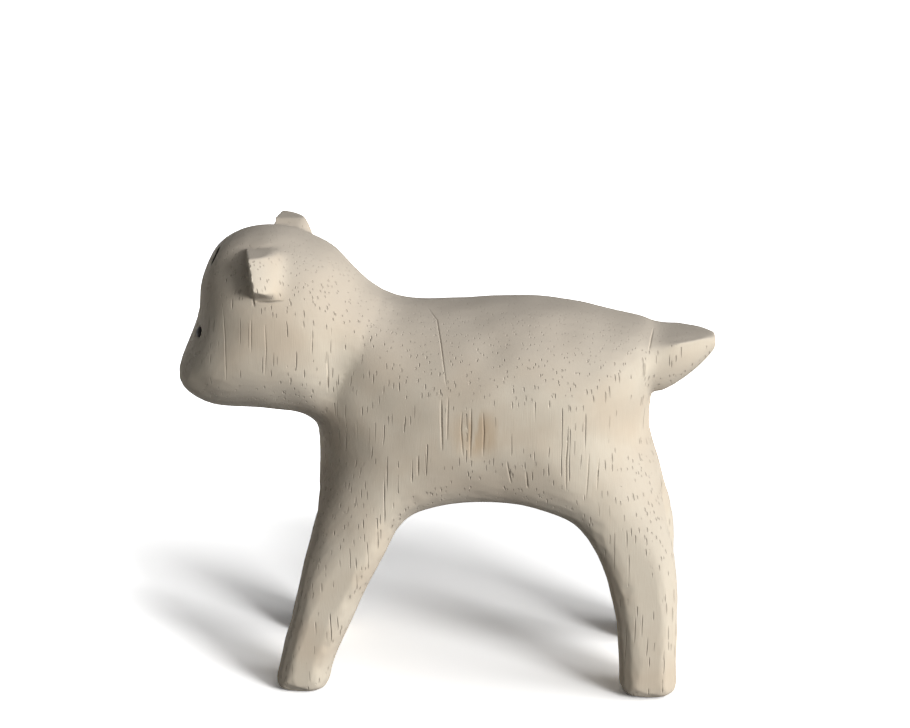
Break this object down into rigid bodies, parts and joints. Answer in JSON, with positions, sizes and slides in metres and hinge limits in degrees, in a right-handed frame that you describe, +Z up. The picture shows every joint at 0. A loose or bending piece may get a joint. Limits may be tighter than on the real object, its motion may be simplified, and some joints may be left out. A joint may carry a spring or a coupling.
{
  "type": "goat figurine",
  "caption": "Standing kid goat figurine carved from pale open-pored wood, with glued-on head, ears and tail on hidden dowels and dark peg eyes.",
  "frame": {"origin": "floor under the middle of the length and width, between the soles", "axes": "+X towards the tail, +Y towards the animal's right side, +Z up"},
  "size_m": [0.0876, 0.0316, 0.076],
  "materials": {
    "carved_wood": "bare sanded pale wood with open vertical pores",
    "dowel_wood": "plain turned dowel",
    "eye_black": "black stained peg, satin"
  },
  "bodies": {
    "root": {"body": "carved_wood", "head": "carved_wood", "tail": "carved_wood", "left_ear": "carved_wood", "right_ear": "carved_wood", "neck_dowel": "dowel_wood", "tail_dowel": "dowel_wood", "left_ear_dowel": "dowel_wood", "right_ear_dowel": "dowel_wood", "left_eye": "eye_black", "right_eye": "eye_black"}
  },
  "joints": []
}
